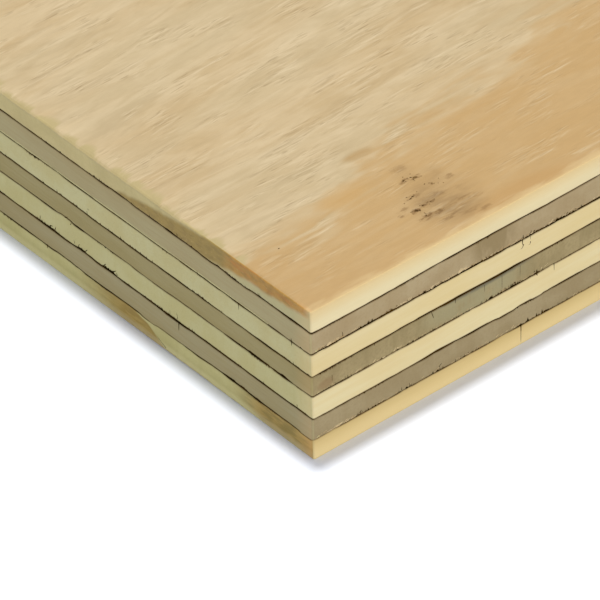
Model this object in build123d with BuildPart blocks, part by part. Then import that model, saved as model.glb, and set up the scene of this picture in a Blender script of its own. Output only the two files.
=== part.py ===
"""Seven-ply plywood panel.

Seven sheets of peeled veneer lie on each other with their grain turned a quarter turn each time,
and six dark glue lines bond them. The face, the two core plies and the back have their grain along X,
and the three crossbands have theirs along Y. The panel lies flat on its back veneer.
"""

import os

from build123d import *

# Driving dimensions, in millimetres
panel_length = 610.0  # along the face grain, X
panel_width = 610.0  # across the face grain, Y
face_thickness = 2.45
crossband_thickness = 2.30
core_thickness = 2.80
back_thickness = 2.45
glue_thickness = 0.15  # one cured glue line
corner_radius = 0.60  # upright corners of the sawn panel, dulled by handling
arris_radius = 0.30  # long edges of the face and the back, rubbed over
glue_setback = 0.10  # the saw leaves the brittle glue a little behind the wood

# The lay-up from the floor up: the name and the thickness of each veneer
lay_up = [
    ("back_veneer", back_thickness),
    ("crossband_lower", crossband_thickness),
    ("core_ply_lower", core_thickness),
    ("crossband_centre", crossband_thickness),
    ("core_ply_upper", core_thickness),
    ("crossband_upper", crossband_thickness),
    ("face_veneer", face_thickness),
]
outermost = (lay_up[0][0], lay_up[-1][0])

os.makedirs("parts", exist_ok=True)


def veneer(name, base, thickness):
    """One veneer, sawn to the panel's outline. The two outermost have rubbed edges on their outer side."""
    with BuildPart() as ply:
        with BuildSketch(Plane.XY.offset(base)):
            RectangleRounded(panel_length, panel_width, corner_radius)
        extrude(amount=thickness)
        if name in outermost:
            outer_side = -1 if name == lay_up[-1][0] else 0
            fillet(ply.edges().group_by(Axis.Z)[outer_side], arris_radius)
    ply.part.label = name
    export_step(ply.part, f"parts/{name}.step")


def glue_line(name, base):
    """One cured film of glue between two veneers, a little short of their sawn edges."""
    with BuildPart() as film:
        with BuildSketch(Plane.XY.offset(base)):
            RectangleRounded(panel_length, panel_width, corner_radius)
            offset(amount=-glue_setback, mode=Mode.REPLACE)
        extrude(amount=glue_thickness)
    film.part.label = name
    export_step(film.part, f"parts/{name}.step")


# Each veneer stands on the glue line below it
height = 0.0
for number, (ply_name, ply_thickness) in enumerate(lay_up):
    if number > 0:
        glue_line(f"glue_line_{number}", height)
        height += glue_thickness
    veneer(ply_name, height, ply_thickness)
    height += ply_thickness

print(f"panel {panel_length:g} x {panel_width:g} x {height:.2f} mm, {len(lay_up)} veneers")
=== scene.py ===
# %% [markdown]
# A seven-ply plywood sheet, dressed for close looking.
# The sheet is seven peeled veneers with six dark glue lines between them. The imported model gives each
# veneer and each glue line as a plain flat solid. A real sawn edge is livelier: the glue lines wander,
# the saw tears the end grain, and the face fibres break off in a ragged line. Those are made here.

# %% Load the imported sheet
import math
import random
from functools import lru_cache

import bmesh
import bpy
from mathutils import Matrix, Vector, noise


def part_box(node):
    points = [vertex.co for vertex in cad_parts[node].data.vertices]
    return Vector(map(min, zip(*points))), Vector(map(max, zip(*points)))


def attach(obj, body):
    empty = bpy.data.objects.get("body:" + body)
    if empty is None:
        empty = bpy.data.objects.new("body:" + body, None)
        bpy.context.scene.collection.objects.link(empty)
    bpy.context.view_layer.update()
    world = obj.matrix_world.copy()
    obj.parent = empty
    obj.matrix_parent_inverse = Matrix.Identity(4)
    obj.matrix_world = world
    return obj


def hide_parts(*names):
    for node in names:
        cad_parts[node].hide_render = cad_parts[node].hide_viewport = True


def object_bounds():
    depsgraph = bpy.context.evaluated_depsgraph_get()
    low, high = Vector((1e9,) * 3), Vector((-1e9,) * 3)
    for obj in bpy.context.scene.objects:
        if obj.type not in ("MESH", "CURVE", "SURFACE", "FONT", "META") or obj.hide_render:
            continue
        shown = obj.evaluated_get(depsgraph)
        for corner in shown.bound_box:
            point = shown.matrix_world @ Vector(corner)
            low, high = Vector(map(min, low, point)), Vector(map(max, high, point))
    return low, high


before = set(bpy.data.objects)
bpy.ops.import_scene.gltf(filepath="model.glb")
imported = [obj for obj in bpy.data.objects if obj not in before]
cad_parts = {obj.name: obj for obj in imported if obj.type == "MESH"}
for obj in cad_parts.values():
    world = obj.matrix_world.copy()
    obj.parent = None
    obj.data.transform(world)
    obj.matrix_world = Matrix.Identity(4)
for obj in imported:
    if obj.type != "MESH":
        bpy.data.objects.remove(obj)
cad_low, cad_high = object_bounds()
MM = 0.001
HALF_X = cad_high.x
HALF_Y = cad_high.y
print(f"sheet {2 * HALF_X / MM:.0f} x {2 * HALF_Y / MM:.0f} x {cad_high.z / MM:.2f} mm")

# %% [markdown]
# The photograph is taken with a long lens from above the near corner, so the edges hardly converge. A
# camera could be aimed with a constraint, but its place is known better from the picture itself: the
# corner's upright edge falls on one pixel, and the camera is moved sideways until it does, without shift.

# %% Camera
FRAME_PX = 600
FOCAL_PX = 6356.6
CORNER_PX = (312.04, 387.70)  # where the middle of the near corner's upright edge falls
CAMERA_DISTANCE = 613.5 * MM
AZIMUTH, ELEVATION, ROLL = (math.radians(angle) for angle in (-39.31, 38.40, -1.56))

near_corner = Vector((-HALF_X, -HALF_Y, cad_high.z / 2))
back = Vector((
    math.sin(AZIMUTH) * math.cos(ELEVATION),
    -math.cos(AZIMUTH) * math.cos(ELEVATION),
    math.sin(ELEVATION),
))
level = Vector((math.cos(AZIMUTH), math.sin(AZIMUTH), 0.0))
turn = Matrix.Rotation(ROLL, 3, back)
right = turn @ level
up = turn @ back.cross(level)

camera_data = bpy.data.cameras.new("photo_camera")
camera_data.sensor_width = 36.0
camera_data.lens = camera_data.sensor_width * FOCAL_PX / FRAME_PX
camera = bpy.data.objects.new("photo_camera", camera_data)
bpy.context.scene.collection.objects.link(camera)
mm_per_px = CAMERA_DISTANCE / FOCAL_PX
aside = (CORNER_PX[0] - FRAME_PX / 2) * mm_per_px
above = (FRAME_PX / 2 - CORNER_PX[1]) * mm_per_px
eye = near_corner + CAMERA_DISTANCE * back - aside * right - above * up
camera.matrix_world = Matrix.Translation(eye) @ Matrix((right, up, back)).transposed().to_4x4()
bpy.context.scene.camera = camera
print(f"lens {camera_data.lens:.0f} mm, eye {tuple(round(c, 4) for c in eye)}")

# %% [markdown]
# The studio is a white floor under soft light. A large lamp almost straight above, a little behind the
# sheet, gives the narrow soft shadow along the two near edges. A second lamp, low and in front, makes the
# long-grain edge the brightest one. Sun lamps light the whole sheet evenly, which an area lamp close to
# one corner would not. The sky and the floor are a little cool, which keeps the shadow grey beside yellow
# wood.

# %% Floor and light
scene = bpy.context.scene
scene.view_settings.view_transform = "Standard"
FLOOR_HALF = 30.0

def add_object(name, bm):
    """Turns a finished bmesh into an object of the scene."""
    mesh = bpy.data.meshes.new(name)
    bm.to_mesh(mesh)
    bm.free()
    thing = bpy.data.objects.new(name, mesh)
    scene.collection.objects.link(thing)
    return thing

bm = bmesh.new()
bmesh.ops.create_grid(bm, x_segments=1, y_segments=1, size=FLOOR_HALF)
floor = add_object("studio_floor", bm)

def add_sun(name, towards, share, degrees):
    """A sun lamp that gives a white surface facing it this share of full brightness."""
    lamp = bpy.data.lights.new(name, "SUN")
    lamp.energy = math.pi * share
    lamp.angle = math.radians(degrees)
    sun = bpy.data.objects.new(name, lamp)
    sun.rotation_mode = "QUATERNION"
    sun.rotation_quaternion = Vector(towards).to_track_quat("Z", "Y")
    scene.collection.objects.link(sun)
    return sun

add_sun("overhead_lamp", (0.059, 0.099, 1.0), 0.85, 6.4)
add_sun("front_lamp", (0.18, -0.96, 0.04), 0.55, 14.0)
world = bpy.data.worlds.new("studio")
scene.world = world
world.use_nodes = True
sky = world.node_tree.nodes["Background"]
sky.inputs["Color"].default_value = (0.965, 0.98, 1.06, 1.0)
sky.inputs["Strength"].default_value = 0.56

# %% [markdown]
# The lay-up, from the floor up. The pale veneers have their grain along X and the crossbands along Y. So
# each sawn side shows long grain and end grain in turn, and it is the end grain that the saw tears.

# %% The lay-up
PLIES = ["back_veneer", "crossband_lower", "core_ply_lower", "crossband_centre",
         "core_ply_upper", "crossband_upper", "face_veneer"]
GRAIN = ["Y" if ply.startswith("crossband") else "X" for ply in PLIES]
LINES = [f"glue_line_{number}" for number in range(1, len(PLIES))]
line_height = [(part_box(line)[0].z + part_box(line)[1].z) / 2 for line in LINES]
print("glue lines at", [round(height / MM, 2) for height in line_height], "mm")

# %% [markdown]
# A veneer is peeled, dried and pressed, so its thickness is never even and a glue line is never straight.
# The photographed corner shows each line a little off its flat place, by another amount on each side, and
# with a few bends. These are placed one by one and fade out away from the corner, and smooth noise gives
# the rest of the way round. A curve could be drawn for each line, but a height for any point suits every
# piece.

# %% How the glue lines wander
LIFT = [  # end side near and far, long side near and far, mm
    (-0.11, -0.20, -0.09, -0.20), (0.07, -0.02, 0.02, -0.05), (-0.15, -0.22, -0.06, -0.07),
    (-0.11, -0.17, -0.07, -0.06), (-0.34, -0.37, -0.27, -0.32), (-0.03, 0.02, -0.19, 0.08),
]
LIFT_LENGTH = 40 * MM  # from near to far
CORNER_TURN = 1.5 * MM  # over this length a line passes from one side's lift to the other's
LIFT_HOLDS, LIFT_ENDS = 60 * MM, 160 * MM
WAVES = [(45.0, 0.05), (9.0, 0.05), (2.5, 0.025)]  # wavelength and height, mm
BENDS = {  # by glue line and side: distance from the corner, half length and lift, mm
    (6, "end"): [(11.0, 2.5, -0.14), (15.7, 1.6, -0.09), (29.2, 2.4, 0.09)],
    (5, "end"): [(10.8, 1.8, -0.06), (40.5, 3.0, 0.08)],
    (4, "end"): [(26.5, 2.6, -0.06), (37.5, 4.0, 0.07)],
    (3, "end"): [(24.5, 4.0, -0.11), (38.3, 1.4, 0.16)],
    (2, "end"): [(21.5, 3.6, -0.1), (35.5, 2.2, 0.1)],
    (1, "end"): [(1.2, 1.4, -0.15), (13.5, 4.4, 0.13), (25.4, 1.6, -0.14), (34.0, 3.0, -0.09),
        (39.0, 2.0, 0.11)],
    (6, "long"): [(20.0, 11.0, 0.07)],
    (5, "long"): [(15.0, 12.0, 0.06)],
    (4, "long"): [(13.5, 4.0, 0.07), (24.0, 3.0, -0.07)],
    (2, "long"): [(17.0, 2.6, 0.09), (25.2, 1.8, -0.16), (29.2, 1.0, -0.11)],
}

def smoothstep(low, high, value):
    """0 below low, 1 above high, and a smooth rise between."""
    share = min(max((value - low) / (high - low), 0.0), 1.0)
    return share * share * (3.0 - 2.0 * share)

def from_corner(x, y):
    """Distances from the photographed corner along X and along Y."""
    return x + HALF_X, y + HALF_Y

def side_place(x, y):
    """Which sawn side a point of the outline is on, and how far along it."""
    along_x, along_y = from_corner(x, y)
    on_end = min(along_x, 2 * HALF_X - along_x) < min(along_y, 2 * HALF_Y - along_y)
    if on_end:
        return ("end" if x < 0 else "far_end"), along_y
    return ("long" if y < 0 else "far_long"), along_x

def placed(table, line, side, along):
    """Shares (0 to 1) and amounts of the entries of a table that reach this point of a line."""
    for middle, half_length, amount in table.get((line + 1, side), ()):
        apart = abs(along / MM - middle) / half_length
        if apart < 1.0:
            yield 1.0 - smoothstep(0.4, 1.0, apart), amount

@lru_cache(maxsize=None)
def line_centre(line, x, y):
    """Height of the middle of a glue line at one point of the outline."""
    along_x, along_y = from_corner(x, y)
    end_near, end_far, long_near, long_far = LIFT[line]
    end_lift = end_near + (end_far - end_near) * min(along_y / LIFT_LENGTH, 1.5)
    long_lift = long_near + (long_far - long_near) * min(along_x / LIFT_LENGTH, 1.5)
    end_side = smoothstep(-CORNER_TURN, CORNER_TURN, along_y - along_x)
    near = 1.0 - smoothstep(LIFT_HOLDS, LIFT_ENDS, math.hypot(along_x, along_y))
    rise = near * (end_lift * end_side + long_lift * (1.0 - end_side))
    for wavelength, height in WAVES:
        place = Vector((x, y, 0.0)) / (wavelength * MM)
        place.z = 7.3 * line
        rise += height * noise.noise(place)
    for share, lift in placed(BENDS, line, *side_place(x, y)):
        rise += share * lift
    return line_height[line] + rise * MM

print("line 6 at the corner", round(line_centre(5, -HALF_X, -HALF_Y) / MM, 3), "mm")

# %% [markdown]
# The saw tears the end grain at the underside of each ply, where no fibre backs it up, and nicks it a
# little at the upper side. So the borders of a glue line are ragged where the ply beside them shows end
# grain, and almost clean where it shows long grain. In a few places a whole splinter is gone and glue
# fills the hole. The line itself swells and thins. What lies near the photographed corner is listed, the
# rest is noise.

# %% Torn borders
TEAR_OUTS = {  # by glue line and side: distance from the corner, half length and height, mm
    (6, "end"): [(17.9, 0.3, 0.16), (39.0, 2.0, 0.12)],
    (4, "end"): [(17.5, 1.8, 0.1), (28.0, 2.0, 0.12)],
    (2, "end"): [(24.0, 3.5, 0.1)],
    (5, "long"): [(3.0, 2.5, 0.28), (9.0, 3.5, 0.3), (15.0, 3.0, 0.2), (22.0, 4.0, 0.2),
        (28.0, 2.0, 0.3)],
    (3, "long"): [(3.0, 3.0, 0.08), (9.5, 3.0, 0.18), (14.0, 2.0, 0.2), (25.0, 2.8, 0.45),
        (28.9, 0.8, 0.5)],
    (1, "long"): [(6.2, 0.7, 0.3), (12.0, 1.5, 0.22), (16.0, 1.6, 0.3), (20.5, 2.0, 0.22),
        (28.9, 2.4, 0.5)],
}
SPLINTERS = {  # by glue line and side: distance from the corner, half length and height, mm
    (6, "end"): [(21.5, 0.8, 0.06)],
    (5, "end"): [(1.6, 0.25, 0.12)],
    (4, "end"): [(2.3, 0.5, 0.1), (0.5, 0.35, 0.1), (4.0, 0.4, 0.08)],
    (3, "end"): [(9.6, 2.2, 0.1), (4.4, 0.6, 0.12), (6.8, 0.4, 0.1)],
    (2, "end"): [(31.5, 1.3, 0.3), (35.8, 0.9, 0.22), (40.6, 1.2, 0.18)],
    (1, "end"): [(10.6, 0.7, 0.14), (8.4, 0.4, 0.1), (12.3, 0.5, 0.08)],
    (3, "long"): [(25.6, 1.2, 0.1), (29.2, 0.5, 0.16)],
    (1, "long"): [(27.0, 0.6, 0.22)],
}
SWELLINGS = {  # by glue line and side: distance from the corner, half length in mm, times as thick
    (6, "end"): [(3.2, 2.2, 1.5), (21.5, 1.2, 1.4), (29.0, 4.5, 1.3)],
    (5, "end"): [(13.0, 5.0, 1.35), (3.0, 0.5, 1.6)],
    (4, "end"): [(4.0, 4.0, 1.2), (28.0, 5.0, 1.2)],
    (3, "end"): [(4.8, 2.0, 4.4), (8.2, 1.8, 4.2), (11.2, 2.4, 2.6), (36.6, 1.6, 2.4), (41.0, 1.6, 1.8)],
    (2, "end"): [(10.0, 5.0, 1.25), (22.5, 5.5, 1.3), (29.3, 1.8, 1.4)],
    (1, "end"): [(0.8, 2.4, 0.05), (10.8, 3.6, 2.3), (23.2, 4.2, 0.15), (33.5, 2.6, 1.4)],
    (6, "long"): [(1.5, 2.0, 1.4), (20.6, 4.6, 1.6)],
    (5, "long"): [(3.0, 3.0, 1.2), (27.4, 1.6, 1.4)],
    (4, "long"): [(21.5, 7.5, 2.0)],
    (3, "long"): [(27.4, 3.0, 1.5)],
    (2, "long"): [(15.6, 2.0, 1.7), (19.5, 3.5, 1.3)],
    (1, "long"): [(0.8, 2.6, 0.05), (27.6, 1.9, 1.6)],
}
WIDTHS = [  # mm, on the end sides and on the long sides
    (0.10, 0.04), (0.145, 0.10), (0.06, 0.055), (0.105, 0.11), (0.105, 0.15), (0.10, 0.09),
]
TOOTH = 0.11 * MM  # width of one torn fibre bundle
TEAR_REACH = 0.24  # mm, how far end grain frays above a glue line
NICK_REACH = 0.16  # mm, the same below a glue line
TEAR_LOW = 0.03  # mm, how far long grain frays

def ragged(ply, line, x, y, reach):
    """Fraying of a ply's border in mm, and the fibre bundle's share of it (0 to 1), even and peaked."""
    side, along = side_place(x, y)
    end_grain = side.endswith("end") == (GRAIN[ply] == "X")
    tooth = 0.5 + 0.5 * noise.cell(Vector((along / TOOTH, 3.1 * line + 1.7 * ply, len(side))))
    spike = 0.15 * tooth + 0.85 * smoothstep(0.55, 1.0, tooth)
    patch = smoothstep(0.0, 0.45, noise.noise(Vector((x / (5 * MM), y / (5 * MM), 11.0 * line + ply))))
    return spike * patch * (reach if end_grain else TEAR_LOW), tooth, spike

def tear(line, x, y):
    """How far the ply above is torn away at its lower border."""
    side, along = side_place(x, y)
    height, tooth, spike = ragged(line + 1, line, x, y, TEAR_REACH)
    for share, most in placed(TEAR_OUTS, line, side, along):
        height = max(height, share * most * spike)
    for share, most in placed(SPLINTERS, line, side, along):
        height = max(height, share * most * (0.25 + 0.75 * tooth))
    return height * MM

def half_gap(line, x, y):
    """Half the thickness of the dark line at one point of the outline."""
    side, along = side_place(x, y)
    width = WIDTHS[line][0 if side.endswith("end") else 1]
    width *= 1.0 + 0.7 * noise.noise(Vector((x / (3 * MM), y / (3 * MM), 5.7 * line)))
    for share, thicker in placed(SWELLINGS, line, side, along):
        width *= 1.0 + share * (thicker - 1.0)
    return width / 2 * MM

@lru_cache(maxsize=None)
def border_above(line, x, y):
    """Lower border of the ply above a glue line."""
    return line_centre(line, x, y) + half_gap(line, x, y) + tear(line, x, y)

@lru_cache(maxsize=None)
def border_below(line, x, y):
    """Upper border of the ply below a glue line."""
    nick = ragged(line, line, x, y, NICK_REACH)[0] * MM
    return line_centre(line, x, y) - half_gap(line, x, y) - nick

thick = border_above(4, -HALF_X, -HALF_Y) - border_below(4, -HALF_X, -HALF_Y)
print(f"line 5 at the corner {thick / MM:.3f} mm thick")

# %% [markdown]
# Each veneer starts as a flat grid with four hardly rounded corners. Its rim is cut into fine columns,
# finest near the photographed corner, and the sheet is extruded to a prism whose upright edges are cut
# into rows. Then every row gets its own height and set-back. A boolean with a noisy cutter would also
# make a torn edge, but this way the columns of neighbouring plies line up, and each border is followed
# exactly.

# %% A sawn sheet
CORNER_RADIUS = 0.30 * MM
SETBACK = 0.05 * MM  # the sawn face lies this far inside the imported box, so that fibres can stand proud
FINE_COLUMN, COARSE_COLUMN = 0.10 * MM, 0.60 * MM
FINE_REACH = 62 * MM

def outward(x, y):
    """Outward direction of the outline, or None for a point inside it."""
    over_x = math.copysign(max(abs(x) - HALF_X + CORNER_RADIUS, 0.0), x)
    over_y = math.copysign(max(abs(y) - HALF_Y + CORNER_RADIUS, 0.0), y)
    way = Vector((over_x, over_y, 0.0))
    return way.normalized() if way.length > 0.99 * CORNER_RADIUS else None

def flat_prism(cells_x, cells_y, rows):
    """A prism one unit high on the sheet's outline, with that many rows of points up its sides."""
    bm = bmesh.new()
    bmesh.ops.create_grid(bm, x_segments=cells_x, y_segments=cells_y, size=1.0)
    bmesh.ops.scale(bm, vec=(HALF_X, HALF_Y, 1.0), verts=bm.verts)
    corners = [v for v in bm.verts if len(v.link_edges) == 2]
    bmesh.ops.bevel(bm, geom=corners, offset=CORNER_RADIUS, affect="VERTICES", segments=6,
                    profile=0.5, material=-1)
    for edge in [e for e in bm.edges if e.is_boundary]:
        middle = (edge.verts[0].co + edge.verts[1].co) / 2
        near = math.hypot(*from_corner(middle.x, middle.y)) < FINE_REACH
        cuts = round(edge.calc_length() / (FINE_COLUMN if near else COARSE_COLUMN)) - 1
        if cuts > 0:
            bmesh.ops.bisect_edges(bm, edges=[edge], cuts=cuts)
    made = bmesh.ops.extrude_face_region(bm, geom=bm.faces[:])
    lid = [item for item in made["geom"] if isinstance(item, bmesh.types.BMVert)]
    bmesh.ops.translate(bm, verts=lid, vec=(0.0, 0.0, 1.0))
    posts = [e for e in bm.edges if abs(e.verts[0].co.z - e.verts[1].co.z) > 0.5]
    bmesh.ops.subdivide_edges(bm, edges=posts, cuts=rows - 2)
    bmesh.ops.recalc_face_normals(bm, faces=bm.faces)
    return bm

def sawn_sheet(name, grain, cells, rows, row_place, flat_height):
    """One sheet. row_place gives height, set-back, stain and sawn of a rim point, flat_height the rest."""
    bm = flat_prism(*cells, rows)
    stain = bm.verts.layers.float.new("glue_stain")
    sawn = bm.verts.layers.float.new("sawn")
    end_grain = bm.verts.layers.float.new("end_grain")
    for face in bm.faces:
        heights = [v.co.z for v in face.verts]
        face.smooth = max(heights) - min(heights) < 0.01
    for vert in bm.verts:
        row = round(vert.co.z * (rows - 1))
        x, y = vert.co.x, vert.co.y
        way = outward(x, y)
        if way is None:
            vert.co.z = flat_height(row, x, y)
        else:
            height, setback, vert[stain], vert[sawn] = row_place(row, x, y)
            vert[end_grain] = smoothstep(0.75, 1.0, abs(way.x if grain == "X" else way.y))
            vert.co = Vector((x, y, height)) - way * (SETBACK + setback)
    bm.normal_update()
    return add_object(name, bm)

print("columns", FINE_COLUMN / MM, "to", COARSE_COLUMN / MM, "mm wide")

# %% [markdown]
# The five inner plies. Only their sawn edges show, so the hidden faces are coarse grids. The rows next to
# the glue are set back a little, as the saw breaks the arris of every ply.

# %% Inner plies
INNER_CELLS = (25, 25)
INNER_ROWS = (0.0, 0.06, 0.5, 0.94, 1.0)  # shares of the ply's height
BROKEN = 0.03 * MM  # set-back of a broken arris
FUZZ = 0.008 * MM

def fuzz(x, y, z, grain):
    """Unevenness of a sawn face: end grain is rougher than long grain."""
    side, along = side_place(x, y)
    end_grain = side.endswith("end") == (grain == "X")
    rough = noise.noise(Vector((along / (0.35 * MM), z / (0.8 * MM), x + y)))
    return FUZZ * (1.0 if end_grain else 0.4) * (0.7 + rough)

def inner_ply(index):
    """One of the plies that lie between two glue lines."""
    low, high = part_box(PLIES[index])

    def row_place(row, x, y):
        bottom = border_above(index - 1, x, y)
        top = border_below(index, x, y)
        share = INNER_ROWS[row]
        at_border = share in (0.0, 1.0)
        height = bottom + share * (top - bottom)
        return height, fuzz(x, y, height, GRAIN[index]) + BROKEN * at_border, float(at_border), 1.0

    def flat_height(row, x, y):
        return high.z if row else low.z

    name = f"{PLIES[index]}_wood"
    return sawn_sheet(name, GRAIN[index], INNER_CELLS, len(INNER_ROWS), row_place, flat_height)

veneers = {}
for index in range(1, len(PLIES) - 1):
    veneers[PLIES[index]] = inner_ply(index)
print("inner plies", [len(piece.data.polygons) for piece in veneers.values()])

# %% [markdown]
# The face veneer and the back veneer also show their broad sides. Along the grain their arris is rubbed
# round by a tenth of a millimetre or less. Across the grain the saw breaks the outer fibres off in small
# chips, bundle by bundle. A chip is a small slope that shows the wood of the broad side. The broad side
# gets the slight swell of a peeled and sanded sheet from a grid that is fine across the grain and coarse
# along it.

# %% Face and back
OUTER_CELLS = (50, 300)
OUTER_ROWS = 7
FACE_ARRIS, BACK_ARRIS = 0.10 * MM, 0.03 * MM
BUNDLES = [(3.4, 0.6), (1.1, 0.3), (0.3, 0.1)]  # width in mm and share of the chips' depth
CHIP_DEEP = 0.55 * MM
SWELL = 0.03 * MM
PROUD_ROOM = 0.03 * MM  # room for flecks on the broad side

def chip(x, y, seed):
    """How far the outer fibres are broken back along the grain at one point of the outline."""
    side, along = side_place(x, y)
    if side.endswith("long"):
        return 0.0
    patch = smoothstep(-0.1, 0.5, noise.noise(Vector((x * 3, y / (30 * MM), seed))))
    if seed == 0.0 and side == "end":
        near = smoothstep(14 * MM, 25 * MM, along)
        patch = near * max(patch, 1.0 - smoothstep(46 * MM, 70 * MM, along))
    jag = 0.0
    for width, part in BUNDLES:
        jag += part * (0.5 + 0.5 * noise.cell(Vector((y / (width * MM), x * 3, seed))))
    return patch * (0.25 + 0.75 * jag) * CHIP_DEEP

def outer_ply(index, seed):
    """The face veneer (rubbed and chipped above) or the back veneer (below)."""
    is_face = index == len(PLIES) - 1
    low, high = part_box(PLIES[index])
    outer = high.z - PROUD_ROOM if is_face else low.z
    inwards = -1.0 if is_face else 1.0
    radius = FACE_ARRIS if is_face else BACK_ARRIS
    swell_seed = Vector((0.0, 0.0, 3.0 + seed))

    def row_place(row, x, y):
        step = row if is_face else OUTER_ROWS - 1 - row
        glued = border_above(index - 1, x, y) if is_face else border_below(index, x, y)
        broken = chip(x, y, seed)
        rub_and_highlight = outer + inwards * (radius + 0.5 * broken)
        slope = outer + inwards * (0.29 * radius + 0.2 * broken)
        crest = outer + inwards * (0.03 * radius + 0.02 * broken)
        on_end = abs(outward(x, y).x)
        worn = min(broken / (0.25 * MM), 1.0)
        edge_wood = [(1.0 - on_end) * soft + on_end * (1.0 - worn * gone)
                     for soft, gone in ((1.0, 0.0), (0.95, 0.6), (0.75, 0.9), (0.5, 1.0))]
        places = [  # height, set-back, glue stain, and how much it shows the sawn edge's wood
            (glued, BROKEN, 1.0, 1.0),
            (glued + 0.06 * (rub_and_highlight - glued), 0.0, 0.0, 1.0),
            (rub_and_highlight + 0.12 * (glued - rub_and_highlight), 0.0, 0.0, edge_wood[0]),
            (rub_and_highlight, 0.0, 0.0, edge_wood[1]),
            (slope, 0.29 * radius + 0.45 * broken, 0.0, edge_wood[2]),
            (crest, 0.78 * radius + 0.97 * broken, 0.0, edge_wood[3]),
            (outer, radius + broken, 0.0, 0.0),
        ]
        height, setback, stain, sawn = places[step]
        return height, setback + fuzz(x, y, height, GRAIN[index]), stain, sawn

    def flat_height(row, x, y):
        on_outer = (row > 0) == is_face
        if not on_outer:
            return low.z if is_face else high.z
        place = Vector((x / (140 * MM), y / (9 * MM), 0.0)) + swell_seed
        return outer + inwards * SWELL * (0.75 + 0.75 * noise.noise(place))

    return sawn_sheet(f"{PLIES[index]}_wood", GRAIN[index], OUTER_CELLS, OUTER_ROWS, row_place, flat_height)

veneers["back_veneer"] = outer_ply(0, 4.0)
veneers["face_veneer"] = outer_ply(len(PLIES) - 1, 0.0)
print("outer plies", len(veneers["back_veneer"].data.polygons), len(veneers["face_veneer"].data.polygons))

# %% [markdown]
# The glue is a thin brittle film. The saw chips it a little further back than the wood, so it is seen at
# the bottom of a fine groove, and it fills every tear-out up to the border of the ply above.

# %% Glue films
GLUE_SETBACK = 0.05 * MM
films = {}

def glue_film(line):
    """One glue line, filling the space between the borders of two plies."""
    low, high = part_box(LINES[line])

    def row_place(row, x, y):
        height = border_above(line, x, y) if row else border_below(line, x, y)
        return height, GLUE_SETBACK, 0.0, 1.0

    def flat_height(row, x, y):
        return high.z if row else low.z

    return sawn_sheet(f"{LINES[line]}_film", "X", INNER_CELLS, 2, row_place, flat_height)

for line in range(len(LINES)):
    films[LINES[line]] = glue_film(line)
print("films", [len(film.data.polygons) for film in films.values()])

# %% [markdown]
# All finishes are built from nodes. Colours are given as they read on a screen, and one function turns
# them into the linear values that the shader works with. One function adds a node with its settings and
# links.

# %% Tools for finishes
def linear(colour):
    """A hex colour such as c8a87a as linear red, green, blue and alpha."""
    parts = [int(colour[place:place + 2], 16) / 255 for place in (0, 2, 4)]
    return [c / 12.92 if c <= 0.04045 else ((c + 0.055) / 1.055) ** 2.4 for c in parts] + [1.0]

def add_node(tree, kind, inputs=(), output=0, **settings):
    """Adds a node and returns one of its outputs. An input takes a value, a hex colour or a socket."""
    made = tree.nodes.new(f"ShaderNode{kind}")
    for name, value in settings.items():
        setattr(made, name, value)
    for name, value in dict(inputs).items():
        if isinstance(value, bpy.types.NodeSocket):
            tree.links.new(value, made.inputs[name])
        else:
            made.inputs[name].default_value = linear(value) if isinstance(value, str) else value
    return made.outputs[output]

def new_material(name, roughness):
    """A material with its node tree and its shader."""
    material = bpy.data.materials.new(name)
    material.use_nodes = True
    shader = material.node_tree.nodes["Principled BSDF"]
    shader.inputs["Roughness"].default_value = roughness
    return material, material.node_tree, shader

# painted matt white: it throws soft light back and mirrors nothing
material, tree, shader = new_material("matt_white_floor", 0.9)
shader.inputs["Base Color"].default_value = linear("f0f4fb")
floor.data.materials.append(material)
print("floor finish", material.name)

# %% [markdown]
# Wood figure is noise drawn out along the grain. The position is taken in millimetres from the
# photographed corner, turned so that its first axis runs with the grain, and swayed a little, because no
# tree grows straight. Stretched noise on that position gives streaks on long grain and specks on end
# grain, from one and the same pattern, as in real wood.

# %% Grain
SLANT = {"X": math.radians(1.5), "Y": math.radians(91.0)}  # direction of the grain, from X
SWAY = 2.4  # mm

def wood_place(tree, grain):
    """Sockets for the position from the corner in mm, and for the same position along the grain."""
    shift = (HALF_X / MM, HALF_Y / MM, 0.0)
    where = add_node(tree, "TexCoord", output="Object")
    place = add_node(tree, "VectorMath", {0: where, 1: (1 / MM,) * 3, 2: shift}, operation="MULTIPLY_ADD")
    turned = add_node(tree, "Mapping", {"Vector": place, "Rotation": (0.0, 0.0, -SLANT[grain])})
    slow = add_node(tree, "VectorMath", {0: turned, 1: (1 / 70, 1 / 18, 1 / 18)}, operation="MULTIPLY")
    sway = add_node(tree, "TexNoise", {"Vector": slow, "Scale": 1.0, "Detail": 1.0}, "Color")
    bent = add_node(tree, "VectorMath", {0: sway, 1: (0.0, SWAY, 0.0), 2: turned}, operation="MULTIPLY_ADD")
    return place, bent

def streaks(tree, bent, along, across, deep, low, high, detail=2.0, twist=0.0):
    """Noise stretched to these sizes in mm, spread so that low reads 0 and high reads 1."""
    shrink = (1 / along, 1 / across, 1 / deep)
    scaled = add_node(tree, "VectorMath", {0: bent, 1: shrink}, operation="MULTIPLY")
    sizes = {"Vector": scaled, "Scale": 1.0, "Detail": detail, "Distortion": twist}
    pattern = add_node(tree, "TexNoise", sizes)
    ends = {"Value": pattern, "From Min": low, "From Max": high}
    return add_node(tree, "MapRange", ends, interpolation_type="SMOOTHSTEP")

print("grain sways by", SWAY, "mm")

# %% [markdown]
# Wood is coloured as a painter would do it: a ground colour, and thin coats of others where a pattern is
# strong. A colour ramp could hold several colours of one pattern, but coats can be added one by one, each
# with patterns of its own. Where a coat lies is drawn in mm from the corner, by straight lines and
# ellipses.

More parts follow.
